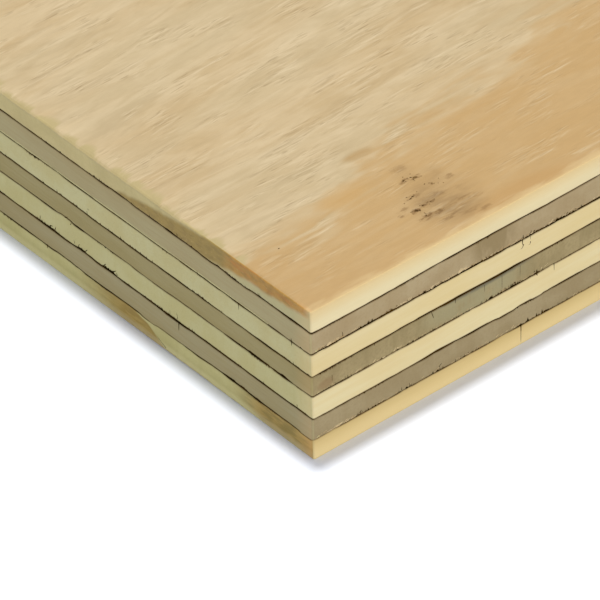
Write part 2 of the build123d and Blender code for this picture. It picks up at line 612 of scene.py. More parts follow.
# %% Coats of colour
def drawn(tree, *pieces):
    """Sum of pieces: sockets, or sockets with two pairs of (place, height) to go straight between."""
    total = None
    for piece in pieces:
        if isinstance(piece, tuple):
            value, start, end = piece
            places = {"Value": value, "From Min": start[0], "From Max": end[0]}
            piece = add_node(tree, "MapRange", {**places, "To Min": start[1], "To Max": end[1]})
        total = piece if total is None else add_node(tree, "Math", {0: total, 1: piece}, operation="ADD")
    return total

def coat(tree, wood, colour, most, *shares, how="MIX"):
    """The wood with a coat of colour on it, at most this dense, where all the shares are high."""
    cover = most
    for share in shares:
        cover = add_node(tree, "Math", {0: cover, 1: drawn(tree, share)}, operation="MULTIPLY")
    return add_node(tree, "Mix", {0: cover, 6: wood, 7: colour}, 2, data_type="RGBA", blend_type=how)

def between(tree, value, low, high, soft):
    """1 where the value lies between two others, with soft limits."""
    above = add_node(tree, "Math", {0: value, 1: low}, operation="SUBTRACT")
    below = add_node(tree, "Math", {0: high, 1: value}, operation="SUBTRACT")
    least = add_node(tree, "Math", {0: above, 1: below}, operation="MINIMUM")
    ends = {"Value": least, "From Min": -soft, "From Max": soft}
    return add_node(tree, "MapRange", ends, interpolation_type="SMOOTHSTEP")

def spot(tree, place, middle, radii, soft=0.6):
    """1 inside an ellipse round a place in mm, fading out to its rim. Two radii reach through the sheet."""
    moved = add_node(tree, "VectorMath", {0: place, 1: Vector(middle).to_3d()}, operation="SUBTRACT")
    shares = Vector([1 / radius for radius in radii]).to_3d()
    scaled = add_node(tree, "VectorMath", {0: moved, 1: shares}, operation="MULTIPLY")
    apart = add_node(tree, "VectorMath", {0: scaled}, "Value", operation="LENGTH")
    ends = {"Value": apart, "From Min": 1.0, "From Max": 1.0 - soft}
    return add_node(tree, "MapRange", ends, interpolation_type="SMOOTHSTEP")

# %% [markdown]
# The sawn edge of a veneer. Long grain is a cream or grey-brown surface with fine long streaks. End grain
# is darker, because light sinks into the open fibres, and it shows pores and the upright checks that the
# peeling knife opens. Next to a glue line the wood is stained by glue that soaked in before it cured. On
# the end side beside the near corner a painted highlight makes the wood a little paler.

# %% Sawn edge
GLUE_BROWN = "4c3200"
RAISED_GRAIN = 0.012 * MM

def sawn_edge(tree, bent, long_colours, end_colours, checks):
    """Colour of a sawn edge, from a light and a dark colour for long grain and for end grain."""
    cloud = streaks(tree, bent, 14, 5, 3, 0.35, 0.65)
    light, dark = long_colours
    long_grain = coat(tree, light, dark, 0.32, streaks(tree, bent, 16, 0.32, 0.32, 0.35, 0.65))
    long_grain = coat(tree, long_grain, dark, 0.6, cloud)
    light, dark = end_colours
    end_grain = coat(tree, light, dark, 1.4 * checks, streaks(tree, bent, 3, 0.35, 0.30, 0.42, 0.70))
    end_grain = coat(tree, end_grain, dark, 1.4 * checks, streaks(tree, bent, 60, 0.9, 7, 0.45, 0.70))
    end_grain = coat(tree, end_grain, dark, 0.5, cloud)
    is_end = add_node(tree, "Attribute", output="Fac", attribute_name="end_grain")
    return coat(tree, long_grain, end_grain, 1.0, is_end)

def rub_and_highlight(tree, place, wood):
    """The same wood with a painted highlight: paler on the end side beside the near corner."""
    along, across, height = add_node(tree, "SeparateXYZ", {0: place}).node.outputs[:]
    near = [
        (across, (2.8, 0.0), (0.4, 1.0)),
        (across, (0.1, 0.0), (0.4, 1.0)),
        (along, (0.6, 0.0), (0.3, 1.0)),
    ]
    # painted highlight: light added on the end side beside the near corner
    return coat(tree, wood, "543620", 1.0, *near, how="ADD")

def finish_wood(tree, shader, place, bent, wood):
    """Paints a highlight beside the near corner and the glue stain on the wood, and links it and a fine
    raised grain to the shader.
    """
    soaked = add_node(tree, "Attribute", output="Fac", attribute_name="glue_stain")
    uneven = streaks(tree, bent, 2.0, 2.0, 2.0, 0.20, 0.55)
    # the painted highlight beside the near corner, then the glue stain next to the glue lines
    wood = coat(tree, rub_and_highlight(tree, place, wood), GLUE_BROWN, 0.9, soaked, uneven)
    tree.links.new(wood, shader.inputs["Base Color"])
    ridge = streaks(tree, bent, 4, 0.30, 0.30, 0.30, 0.70)
    bump = add_node(tree, "Bump", {"Strength": 1.0, "Distance": RAISED_GRAIN, "Height": ridge})
    tree.links.new(bump, shader.inputs["Normal"])
    shader.inputs["Specular IOR Level"].default_value = 0.2

print("grain raised", RAISED_GRAIN / MM, "mm")

# %% [markdown]
# The core plies and the crossbands are seen only on their sawn edges. Each log gives another shade, so
# every ply has colours of its own. A few patches close to the near corner are darker. Two of them, on the
# long side of the crossband_centre just under glue line 4, are painted shade under the edge of the pale
# core ply above; the other two are darker patches in the wood.

# %% Core plies and crossbands
CORE_CHECKS = 0.18
CHECKS = {"crossband_lower": 0.16, "crossband_centre": 0.28, "crossband_upper": 0.16}
INNER_COLOURS = {  # long grain light and dark, end grain light and dark
    "crossband_lower": ("9d916a", "958556", "938360", "82704c"),
    "core_ply_lower": ("cbbc8f", "c7b17d", "bab27f", "b2a66c"),
    "crossband_centre": ("9c8f62", "938452", "93825a", "7e6e48"),
    "core_ply_upper": ("c9b788", "c5af79", "bdb584", "b6a870"),
    "crossband_upper": ("a6996f", "9f8d60", "9e8c68", "8d7751"),
}
PATCHES_AND_SHADE = [  # ply, middle and radii in mm, colour, and the most that it covers
    # the first two: painted shade on the crossband_centre under the edge of the core ply above glue line 4
    ("crossband_centre", (21.0, 0.0, 9.4), (9.0, 3.0, 2.4), "8e8561", 0.75),
    ("crossband_centre", (23.0, 0.0, 10.4), (8.5, 3.0, 0.75), "5e5946", 0.85),
    ("crossband_centre", (1.8, 0.0, 8.7), (1.4, 2.0, 0.8), "7d5f3c", 0.5),
    ("crossband_upper", (23.4, 0.0, 14.9), (3.7, 3.0, 3.4), "83704b", 0.95),
]

def inner_finish(ply):
    """Finish of one inner ply: peeled wood, cut by the saw, dry and matt."""
    # peeled, then sawn across: open and dry, so the eye sees plain colour and no gloss
    material, tree, shader = new_material(f"{ply}_peeled_wood", 0.75)
    place, bent = wood_place(tree, "Y" if ply.startswith("crossband") else "X")
    colours = INNER_COLOURS[ply]
    wood = sawn_edge(tree, bent, colours[:2], colours[2:], CHECKS.get(ply, CORE_CHECKS))
    uneven = streaks(tree, bent, 9, 1.2, 2.5, 0.15, 0.50)
    for patched_ply, middle, radii, tint, most in PATCHES_AND_SHADE:
        if patched_ply == ply:
            wood = coat(tree, wood, tint, most, spot(tree, place, middle, radii), uneven)
    finish_wood(tree, shader, place, bent, wood)
    return material

finishes = {ply: inner_finish(ply) for ply in INNER_COLOURS}
print("inner finishes", len(finishes))

# %% [markdown]
# The face and the back are rotary-cut: the knife follows the rings, so the figure is broad soft streaks
# of sapwood and heartwood. The knife also lifts the fibres a little. Their relief is painted into the
# colour as soft strokes, a painted highlight on one side and painted shade on the other. The same noise
# read twice, a little apart, gives both sides of each stroke.

# %% Rotary-cut figure
PAINTED_RELIEF_STROKES = [(3.6, 0.55, 0.13, 0.42), (10.0, 1.7, 0.35, 0.36)]  # length, width and step in mm, strength

def broad_side(tree, bent, zone, sap, heart, pale, pore):
    """Colour of a rotary-cut surface, from sapwood, heartwood, pale fibre and pore colours."""
    wood = coat(tree, sap, heart, 1.0, zone)
    wood = coat(tree, wood, heart, 0.15, streaks(tree, bent, 130, 2.2, 8, 0.40, 0.70))
    wood = coat(tree, wood, heart, 0.25, streaks(tree, bent, 26, 6, 8, 0.42, 0.62))
    calm = drawn(tree, (zone, (0.0, 1.0), (1.0, 0.25)))
    wood = coat(tree, wood, pale, 0.25, streaks(tree, bent, 9, 3.4, 8, 0.40, 0.62, 3.0, 1.0), calm)
    wood = coat(tree, wood, pale, 0.35, streaks(tree, bent, 14, 1.8, 8, 0.46, 0.66, 3.0, 1.0), calm)
    wood = coat(tree, wood, pore, 0.12, streaks(tree, bent, 9, 1.2, 8, 0.52, 0.70, 3.0, 1.0), calm)
    wood = coat(tree, wood, pore, 0.05, streaks(tree, bent, 1.5, 0.6, 8, 0.35, 0.65))
    crowd = drawn(tree, (streaks(tree, bent, 6, 2.2, 8, 0.48, 0.64), (0.0, 0.1), (1.0, 1.0)))
    fewer = drawn(tree, (zone, (0.0, 1.0), (1.0, 0.55)))
    crowd = add_node(tree, "Math", {0: crowd, 1: fewer}, operation="MULTIPLY")
    for length, width, step, strength in PAINTED_RELIEF_STROKES:
        aside = add_node(tree, "VectorMath", {0: bent, 1: (0.0, step, 0.0)}, operation="ADD")
        sizes = (length, width, 8, 0.30, 0.70, 2.0, 0.8)
        here, there = [streaks(tree, where, *sizes) for where in (bent, aside)]
        slope = add_node(tree, "Math", {0: here, 1: there}, operation="SUBTRACT")
        slope = add_node(tree, "Math", {0: slope, 1: crowd}, operation="MULTIPLY")
        # the pale coat is a painted highlight on one side of a lifted stroke, the dark coat painted shade
        # on its other side
        wood = coat(tree, wood, pale, strength, (slope, (0.04, 0.0), (0.40, 1.0)))
        wood = coat(tree, wood, pore, 0.4 * strength, (slope, (-0.06, 0.0), (-0.40, 1.0)))
    dash = streaks(tree, bent, 1.6, 0.15, 8, 0.66, 0.75, 0.0)
    return coat(tree, wood, pore, 0.4, dash, crowd)

print("strokes", [f"{length} x {width} mm" for length, width, step, strength in PAINTED_RELIEF_STROKES])

# %% [markdown]
# A smudge of dirt lies on the face near the photographed corner: a thin haze, and small soft stains. All
# of them are placed in mm from the corner, and noise frays their outlines. They could be small pieces
# like the flecks further down, but dirt has no thickness, so colour is enough.

# %% Smudge of dirt
HAZE = [  # middle and radii in mm, and the most that it darkens
    ((21.2, 10.8), (2.0, 2.2), 0.20), ((21.4, 4.8), (5.6, 5.4), 0.50), ((22.0, 2.6), (4.0, 2.4), 0.24),
    ((20.6, 7.6), (3.0, 3.2), 0.16), ((23.4, 8.8), (2.0, 2.0), 0.24),
]
STAINS = [  # middle and radii in mm, and the most that it darkens
    ((21.6, 9.6), (0.9, 0.42), 0.80), ((20.4, 9.8), (0.8, 0.36), 0.65), ((19.4, 7.3), (1.2, 0.42), 0.55),
    ((18.2, 5.4), (0.7, 0.48), 0.80), ((19.5, 5.8), (1.2, 0.6), 0.25), ((18.4, 4.0), (1.4, 0.6), 0.75),
    ((19.7, 3.8), (1.0, 0.5), 0.70), ((22.7, 4.1), (1.8, 0.45), 0.38), ((20.2, 2.5), (1.9, 0.4), 0.45),
    ((22.2, 2.0), (1.5, 0.42), 0.30), ((21.3, 11.6), (1.3, 0.7), 0.22), ((24.3, 7.5), (0.8, 0.4), 0.42),
    ((17.3, 6.3), (0.9, 0.36), 0.40), ((23.6, 1.3), (1.0, 0.5), 0.35), ((22.2, 7.7), (0.4, 0.3), 0.55),
    ((16.5, 5.7), (0.5, 0.3), 0.50), ((19.2, 5.5), (0.4, 0.3), 0.70), ((20.3, 5.6), (0.6, 0.32), 0.50),
    ((21.4, 6.1), (1.2, 0.5), 0.35), ((24.3, 3.6), (1.2, 0.5), 0.25),
]
FRAY = 0.9  # mm

def smudged(tree, place, bent, wood):
    """The wood with the haze of dirt and the stains on it."""
    shape = {"Vector": place, "Scale": 1.5, "Detail": 4.0, "Roughness": 0.7}
    shift = add_node(tree, "TexNoise", shape, "Color")
    shift = add_node(tree, "VectorMath", {0: shift, 1: (0.5,) * 3}, operation="SUBTRACT")
    reach = {0: shift, 1: (2 * FRAY, FRAY, 0.0), 2: place}
    frayed = add_node(tree, "VectorMath", reach, operation="MULTIPLY_ADD")
    thin = streaks(tree, bent, 2.4, 0.7, 1.0, 0.30, 0.66, twist=0.5)
    thin = drawn(tree, (thin, (0.0, 0.4), (1.0, 1.0)))
    specks = streaks(tree, bent, 0.9, 0.3, 1.0, 0.38, 0.56)
    specks = drawn(tree, (specks, (0.0, 0.25), (1.0, 1.0)))
    for middle, radii, most in HAZE:
        wood = coat(tree, wood, "755a35", most, spot(tree, place, middle, radii, 0.95), thin)
    for middle, radii, most in STAINS:
        wood = coat(tree, wood, "624218", most, spot(tree, frayed, middle, radii, 0.7), specks)
    return wood

print("stains", len(STAINS))

# %% [markdown]
# The face has a warm heartwood band along its long edge. Near the photographed corner its limit is drawn,
# elsewhere noise gives such bands. The band shows as a brown wedge on the end grain and as a
# peach-coloured rim on the long side. Along the ends, broken fibres make pale tongues on the face.

# %% Face finish
def heart_zone(tree, place, along, across, rough, elsewhere):
    """1 in the warm heartwood, 0 in the pale sapwood."""
    bay = spot(tree, place, (17.2, 15.0), (2.4, 2.4))
    limit = drawn(tree, (along, (10.0, 10.2), (19.0, 14.4)), (along, (18.0, 0.0), (60.0, 7.0)),
                  (rough, (0.0, -2.2), (1.0, 2.2)), (bay, (0.0, 0.0), (1.0, -1.6)))
    warm = between(tree, across, -50.0, limit, 3.0)
    far = add_node(tree, "VectorMath", {0: place}, "Value", operation="LENGTH")
    far = drawn(tree, (far, (55.0, 0.0), (150.0, 1.0)))
    return add_node(tree, "Mix", {0: far, 2: warm, 3: elsewhere}, 0)

def bordered(tree, bent, along, across, zone, wood):
    """The broad side with tongues of broken fibre along its ends and a paler lip along its long edges."""
    wood = coat(tree, wood, "9c7a45", 0.4,
                (along, (0.5, 0.0), (0.1, 1.0)), (across, (15.0, 0.0), (12.0, 1.0)))
    to_end = add_node(tree, "Math", {0: along, 1: HALF_X / MM}, operation="PINGPONG")
    to_edge = add_node(tree, "Math", {0: across, 1: HALF_Y / MM}, operation="PINGPONG")
    pale_zone = drawn(tree, (zone, (0.0, 1.0), (0.6, 0.0)))
    tongue = streaks(tree, bent, 7, 1.5, 8, 0.34, 0.66, 3.0)
    wood = coat(tree, wood, "cdb98f", 0.25, (to_end, (3.5, 0.0), (0.5, 1.0)), tongue, pale_zone)
    reach = drawn(tree, to_end, (tongue, (0.0, -1.2), (1.0, 0.1)))
    wood = coat(tree, wood, "ab9a6c", 1.0, (reach, (0.4, 0.0), (-0.4, 1.0)), pale_zone)
    lip = drawn(tree, to_edge, (streaks(tree, bent, 3, 0.8, 8, 0.3, 0.7), (0.0, -0.35), (1.0, 0.35)))
    return coat(tree, wood, "bea373", 1.0, (lip, (1.0, 0.0), (0.05, 1.0)))

def heart_wedge(tree, bent, axes, is_end, wood):
    """The end grain of the face with the brown wedge that the warm band leaves on it."""
    along, across, height = axes
    wavy = drawn(tree, height, (streaks(tree, bent, 9, 2.2, 2.0, 0.2, 0.8), (0.0, -0.16), (1.0, 0.16)))
    top = drawn(tree, (across, (31.5, 15.8), (23.5, 17.4)), (across, (23.5, 0.0), (16.0, 0.8)),
                (across, (16.5, 0.0), (12.5, 1.0)))
    bottom = drawn(tree, (across, (17.0, 15.4), (11.5, 16.5)), (across, (12.0, 0.0), (0.0, 0.85)))
    warm = drawn(tree, (across, (13.5, 0.0), (11.5, 1.0)))
    heart = coat(tree, "967d3e", "ab8038", 1.0, warm)
    heart = coat(tree, heart, "ae702e", 0.6, streaks(tree, bent, 9, 2.8, 0.5, 0.46, 0.62), warm)
    heart = coat(tree, heart, "6f5a2c", 0.35, streaks(tree, bent, 9, 1.2, 0.5, 0.40, 0.68))
    heart = coat(tree, heart, "c0a05e", 0.3, streaks(tree, bent, 9, 0.4, 0.3, 0.60, 0.70))
    inside = between(tree, wavy, bottom, top, 0.34)
    return coat(tree, wood, heart, 0.95, inside, (is_end, (0.5, 0.0), (0.95, 1.0)),
                (along, (2.0, 1.0), (3.0, 0.0)), (across, (0.2, 0.2), (1.2, 1.0)))

def face_finish():
    """The face veneer: pale rotary-cut wood with a warm band, a brown wedge and a smudge of dirt."""
    # peeled by a knife and lightly sanded: soft streaks, with the faintest sheen of all the plies
    material, tree, shader = new_material("rotary_cut_face_veneer", 0.62)
    place, bent = wood_place(tree, "X")
    axes = add_node(tree, "SeparateXYZ", {0: place}).node.outputs[:]
    along, across, height = axes
    is_end = add_node(tree, "Attribute", output="Fac", attribute_name="end_grain")
    rough = streaks(tree, bent, 7, 1.6, 2.5, 0.25, 0.75, twist=0.6)
    elsewhere = streaks(tree, bent, 240, 20, 20, 0.42, 0.72, detail=4.0)
    zone = heart_zone(tree, place, along, across, rough, elsewhere)
    broad = broad_side(tree, bent, zone, "b4a07a", "b0905f", "c7b490", "7d6743")
    broad = coat(tree, broad, "b38f58", 0.5, spot(tree, place, (14.2, 11.8), (3.8, 2.1)))
    broad = coat(tree, broad, "9d7d4c", 0.7, spot(tree, place, (19.8, 16.1), (2.4, 0.9)), rough)
    broad = coat(tree, broad, "ac8854", 0.7, spot(tree, place, (28.0, 1.0), (9.0, 2.2)))
    broad = smudged(tree, place, bent, bordered(tree, bent, along, across, zone, broad))
    edge = sawn_edge(tree, bent, ("d0c094", "cab98d"), ("bfae77", "af9e69"), CORE_CHECKS)
    edge = coat(tree, edge, "cab07b", 1.0,
                (height, (16.7, 0.0), (18.25, 1.0)), (is_end, (0.9, 0.0), (0.3, 1.0)))
    edge = coat(tree, edge, "aca67a", 0.6, (across, (14.0, 0.0), (10.0, 1.0)), is_end)
    edge = heart_wedge(tree, bent, axes, is_end, edge)
    sawn = add_node(tree, "Attribute", output="Fac", attribute_name="sawn")
    finish_wood(tree, shader, place, bent, coat(tree, broad, edge, 1.0, sawn))
    return material

finishes["face_veneer"] = face_finish()
print("face nodes", len(finishes["face_veneer"].node_tree.nodes))

# %% [markdown]
# The back is made like the face, from a yellower log. Two brown streaks run into its end grain, placed in
# mm as on the face. Its lowest edge is drawn paler, as the white floor lights it in the photograph. More
# light bounced from the floor would do the same, but it would also lift the shadow beside it.

# %% Back finish
def back_finish():
    """The back veneer: yellower wood, with two brown streaks on its end grain."""
    # peeled by a knife and hardly sanded: the same soft streaks, a little duller than the face
    material, tree, shader = new_material("rotary_cut_back_veneer", 0.68)
    place, bent = wood_place(tree, "X")
    along, across, height = add_node(tree, "SeparateXYZ", {0: place}).node.outputs[:]
    is_end = add_node(tree, "Attribute", output="Fac", attribute_name="end_grain")
    zone = streaks(tree, bent, 190, 15, 15, 0.40, 0.64, detail=3.0)
    broad = broad_side(tree, bent, zone, "b09c74", "aa8c60", "bfac84", "7d6040")
    edge = sawn_edge(tree, bent, ("bea56e", "b79c61"), ("bcb37a", "aca266"), CORE_CHECKS)
    edge = coat(tree, edge, "e0c88e", 1.0,
                (height, (2.3, 0.0), (0.3, 1.0)), (is_end, (0.0, 1.0), (1.0, 0.0)))
    foot = drawn(tree, (height, (1.0, 0.0), (0.1, 1.0)))
    edge = coat(tree, edge, "e6dca0", 0.8, foot, is_end)
    beside = [(is_end, (0.5, 0.0), (0.95, 1.0)), (along, (2.0, 1.0), (3.0, 0.0))]
    mottle = streaks(tree, bent, 9, 2.2, 0.4, 0.38, 0.62, 3.0)
    start = drawn(tree, (height, (0.2, 23.0), (2.0, 25.8)), (height, (1.8, 0.0), (2.4, 2.2)))
    brown = coat(tree, coat(tree, "8d7231", "aa8e48", 0.7, mottle), "c8b684", 0.85, foot)
    begun = between(tree, across, start, 60.0, 0.3)
    edge = coat(tree, edge, brown, 0.9, begun, (across, (37.5, 0.0), (29.5, 1.0)), *beside)
    brown = coat(tree, coat(tree, "887237", "a58846", 1.0, mottle), "c8b684", 0.85, foot)
    brown = coat(tree, brown, "be9652", 0.6, (across, (2.2, 0.0), (0.2, 1.0)))
    floor_line = drawn(tree, (across, (6.0, -0.4), (12.0, 1.0)))
    above = between(tree, height, floor_line, 9.0, 0.6)
    edge = coat(tree, edge, brown, 0.9, above, (across, (13.0, 0.0), (8.0, 1.0)), *beside)
    sawn = add_node(tree, "Attribute", output="Fac", attribute_name="sawn")
    finish_wood(tree, shader, place, bent, coat(tree, broad, edge, 1.0, sawn))
    return material

finishes["back_veneer"] = back_finish()
for ply, piece in veneers.items():
    piece.data.materials.append(finishes[ply])
    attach(piece, "root")
    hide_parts(ply)
print("finishes", [finish.name for finish in finishes.values()])

# %% [markdown]
# Cured phenolic glue is matt and brittle, nearly black where it is thick and brown where it is thin. A
# film has no grain, so its two browns follow plain round noise.

# %% Glue
# cured under heat and broken by the saw: a dark dull line that gives back no light
glue_finish, tree, shader = new_material("cured_phenolic_glue", 0.8)
shader.inputs["Specular IOR Level"].default_value = 0.0
place, bent = wood_place(tree, "X")
thin = streaks(tree, bent, 1.8, 1.8, 1.8, 0.42, 0.68)
tree.links.new(coat(tree, "1c1302", "3a2606", 1.0, thin), shader.inputs["Base Color"])
for line, film in films.items():
    film.data.materials.append(glue_finish)
    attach(film, "root")
    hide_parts(line)
print("glue films", len(films))

# %% [markdown]
# Loose fibres and hairs stand at the glue lines: pale torn wood, and dark glue that ran into cracks. Each
# is a small tapering blade, extruded step by step from a five-sided end, so that it can bend. A particle
# system could scatter them, but single blades can be put where the photograph shows them. All blades of a
# kind are joined into one piece.

# %% A blade of wood or glue
STEPS = 4
FLATNESS = 0.5

def join(bm, part):
    """Joins a finished bmesh to another one."""
    mesh = bpy.data.meshes.new("part")
    part.to_mesh(mesh)
    part.free()
    bm.from_mesh(mesh)
    bpy.data.meshes.remove(mesh)

def add_blade(bm, matrix, length, width, bend):
    """Joins a blade along the matrix's X to bm, bent about its Z and tapering to a point."""
    blade = bmesh.new()
    upright = Matrix.Rotation(math.pi / 2, 4, "Y")
    made = bmesh.ops.create_circle(blade, cap_ends=True, segments=5, radius=width / 2, matrix=upright)
    tip = made["verts"][0].link_faces[0]
    where, heading = Vector(), 0.0
    for step in range(STEPS):
        made = bmesh.ops.extrude_face_region(blade, geom=[tip])
        tip = next(item for item in made["geom"] if isinstance(item, bmesh.types.BMFace))
        move = Matrix.Rotation(heading, 3, "Z") @ Vector((length / STEPS, 0.0, 0.0))
        heading += bend / STEPS
        where += move
        bmesh.ops.translate(blade, verts=tip.verts, vec=move)
        narrow = 0.9 if step < STEPS - 1 else 0.3
        bmesh.ops.scale(blade, verts=tip.verts, vec=(1.0, narrow, narrow), space=Matrix.Translation(-where))
    bmesh.ops.recalc_face_normals(blade, faces=blade.faces)
    flat = Matrix.Diagonal((1.0, 1.0, FLATNESS, 1.0))
    bmesh.ops.transform(blade, matrix=matrix @ flat, verts=blade.verts)
    join(bm, blade)

SIDES = {  # start, direction along it and outward direction of each sawn side
    "end": (Vector((-HALF_X, -HALF_Y, 0.0)), Vector((0.0, 1.0, 0.0)), Vector((-1.0, 0.0, 0.0))),
    "long": (Vector((-HALF_X, -HALF_Y, 0.0)), Vector((1.0, 0.0, 0.0)), Vector((0.0, -1.0, 0.0))),
    "far_end": (Vector((HALF_X, -HALF_Y, 0.0)), Vector((0.0, 1.0, 0.0)), Vector((1.0, 0.0, 0.0))),
    "far_long": (Vector((-HALF_X, HALF_Y, 0.0)), Vector((1.0, 0.0, 0.0)), Vector((0.0, 1.0, 0.0))),
}

def on_side(side, along, height, angle, depth):
    """Matrix of a blade on a sawn side, turned by angle from the level, with its middle depth inside."""
    corner, tangent, out = SIDES[side]
    upward = Vector((0.0, 0.0, 1.0))
    axis = math.cos(angle) * tangent + math.sin(angle) * upward
    start = corner + along * tangent + height * upward - depth * out
    return Matrix.Translation(start) @ Matrix((axis, out.cross(axis), out)).transposed().to_4x4()

def on_line(height_of, line, side, along):
    """What a function of heights gives for a glue line, at a distance along a side."""
    point = SIDES[side][0] + along * SIDES[side][1]
    return height_of(line, point.x, point.y)

print("a blade has", STEPS, "steps")

# %% [markdown]
# Torn fibres hang over the glue lines where the crossbands above show end grain. A few pale splinters on
# the end side are placed one by one, the others are drawn at random along stretches of a line, with gaps
# between them. The last loop lays long thin fibres along one line, where the saw has lifted them.

# %% Torn fibres
draw = random.Random(7)
END_LINES, LONG_LINES = (1, 3, 5), (0, 2, 4)  # lines under end grain, on the end and on the long sides
FIBRE_DEPTH = SETBACK + 0.01 * MM
FIBRE_RUNS = [  # side, start and end along it in mm, glue lines, and how many
    ("long", 0.5, 4.2, (4,), 60), ("long", 0.4, 4.5, (0,), 30), ("long", 18.0, 28.0, (4,), 60),
    ("long", 0.5, 60.0, (4,), 240), ("long", 0.5, 60.0, (0, 2), 160),
    ("long", 2.0, 608.0, LONG_LINES, 500), ("far_long", 2.0, 608.0, LONG_LINES, 500),
]
LIFTED_FIBRES = 100
PALE_SPLINTERS = [  # on the end side: distance along, height, angle in degrees, length and width, mm
    (31.6, 5.45, 140, 0.5, 0.12), (30.6, 5.4, 100, 0.35, 0.10), (35.9, 5.5, 130, 0.45, 0.12),
    (36.6, 5.55, 80, 0.35, 0.10), (40.8, 5.5, 140, 0.35, 0.10),
]
bm = bmesh.new()
for along, height, degrees, length, width in PALE_SPLINTERS:
    matrix = on_side("end", along * MM, height * MM, math.radians(degrees), FIBRE_DEPTH)
    add_blade(bm, matrix, length * MM, width * MM, 0.3)
count = len(PALE_SPLINTERS)
for side, first, last, lines, number in FIBRE_RUNS:
    for _ in range(number):
        line = draw.choice(lines)
        along = draw.uniform(first, last) * MM
        if last > 30.0 and noise.noise(Vector((along / (5 * MM), 4.0 * line, 1.0))) < -0.25:
            continue
        height = on_line(line_centre, line, side, along) + draw.uniform(0.10, 0.34) * MM
        matrix = on_side(side, along, height, draw.uniform(-0.1, 0.7), FIBRE_DEPTH)
        length, width = draw.uniform(0.15, 0.5) * MM, draw.uniform(0.05, 0.10) * MM
        add_blade(bm, matrix, length, width, draw.gauss(0.0, 0.5))
        count += 1
for _ in range(LIFTED_FIBRES):
    along = draw.uniform(6.0, 58.0) * MM
    height = on_line(border_above, 4, "end", along) + draw.uniform(0.06, 0.16) * MM
    matrix = on_side("end", along, height, draw.gauss(0.0, 0.01), FIBRE_DEPTH)
    length, width = draw.uniform(2.0, 4.5) * MM, draw.uniform(0.08, 0.13) * MM
    add_blade(bm, matrix, length, width, draw.gauss(0.0, 0.02))
    count += 1
torn_fibres = add_object("torn_fibres", bm)
print("torn fibres", count, len(torn_fibres.data.polygons))

# %% [markdown]
# The peeling knife opens fine checks in a veneer, and glue ran into them before it cured. They show as
# dark hairs on the sawn edge. Those near the photographed corner are placed one by one, the others are
# drawn at random beside the glue lines.

# %% Glue hairs
HAIRS = {  # by side: distance along, height, angle in degrees, length, bend in degrees, width; mm
    "end": [
        (20.55, 5.0, -90, 1.15, -8, 0.12), (20.7, 5.3, 85, 0.7, 20, 0.08),
        (21.9, 5.2, 88, 0.5, 5, 0.07), (11.0, 13.1, -90, 0.9, 3, 0.08), (3.0, 13.0, -88, 0.5, 5, 0.1),
        (3.0, 13.1, 80, 0.3, 10, 0.12), (22.8, 0.35, 28, 1.6, 5, 0.07), (2.4, 5.2, 85, 0.4, 10, 0.09),
        (41.6, 2.5, -88, 0.5, 0, 0.12), (17.2, 13.1, 60, 0.3, 10, 0.1),
        (31.0, 5.2, 150, 0.8, 20, 0.14), (32.3, 5.2, 120, 0.5, -20, 0.12),
        (30.2, 5.15, 70, 0.35, 10, 0.1), (35.4, 5.2, 140, 0.7, 15, 0.12),
        (36.4, 5.25, 110, 0.5, -20, 0.1), (37.0, 5.3, 80, 0.4, 10, 0.08),
        (40.2, 5.2, 120, 0.5, 20, 0.12), (41.0, 5.25, 150, 0.6, -20, 0.12),
        (42.6, 5.2, 100, 0.5, 10, 0.1), (38.4, 7.8, 150, 0.6, 10, 0.12), (37.4, 7.6, -60, 0.3, 0, 0.1),
        (34.6, 10.4, 80, 0.4, 20, 0.08), (34.4, 11.0, 30, 0.2, 0, 0.09),
        (29.4, 10.3, 100, 0.35, 0, 0.08), (26.2, 10.2, 80, 0.3, 0, 0.08),
    ],
    "long": [
        (27.3, 13.1, -90, 0.7, -4, 0.14), (27.4, 12.45, -90, 0.75, -115, 0.13),
        (28.35, 12.3, -90, 0.55, -120, 0.12), (28.35, 12.9, -90, 0.4, 3, 0.06),
        (27.1, 2.5, -91, 1.0, 2, 0.16), (27.1, 1.8, -91, 1.6, 2, 0.08), (31.5, 7.9, -90, 0.9, 3, 0.09),
        (27.35, 13.2, 80, 0.4, 5, 0.12), (28.4, 13.3, 80, 0.35, 5, 0.1),
        (4.0, 13.4, 75, 0.6, 60, 0.08), (16.3, 2.9, 60, 0.5, -70, 0.09),
        (8.0, 10.3, -85, 0.3, 5, 0.08), (15.4, 10.2, -75, 0.9, 10, 0.08),
        (18.5, 10.2, -90, 0.5, 0, 0.08), (6.0, 2.7, 60, 0.35, -60, 0.1),
        (12.4, 2.6, 80, 0.4, 10, 0.08), (11.4, 2.6, 85, 0.4, 10, 0.08), (5.1, 10.3, -88, 0.2, 0, 0.08),
        (2.6, 9.3, -90, 0.8, 0, 0.06), (29.2, 7.8, -80, 0.3, 0, 0.14), (24.6, 10.0, -90, 1.7, 0, 0.05),
        (27.0, 10.0, -91, 1.3, 0, 0.05), (22.3, 10.0, -89, 0.9, 0, 0.05),
    ],
}
HAIR_DEPTH = SETBACK + 0.005 * MM
HAIR_RUNS = [  # side, end of the stretch along it in mm, and how many
    ("long", 60.0, 300), ("end", 60.0, 110), ("long", 608.0, 250), ("far_long", 608.0, 250),
    ("end", 608.0, 250), ("far_end", 608.0, 250),
]
bm = bmesh.new()
for side, hairs in HAIRS.items():
    for along, height, degrees, length, bend, width in hairs:
        matrix = on_side(side, along * MM, height * MM, math.radians(degrees), HAIR_DEPTH)
        add_blade(bm, matrix, length * MM, width * MM, math.radians(bend))
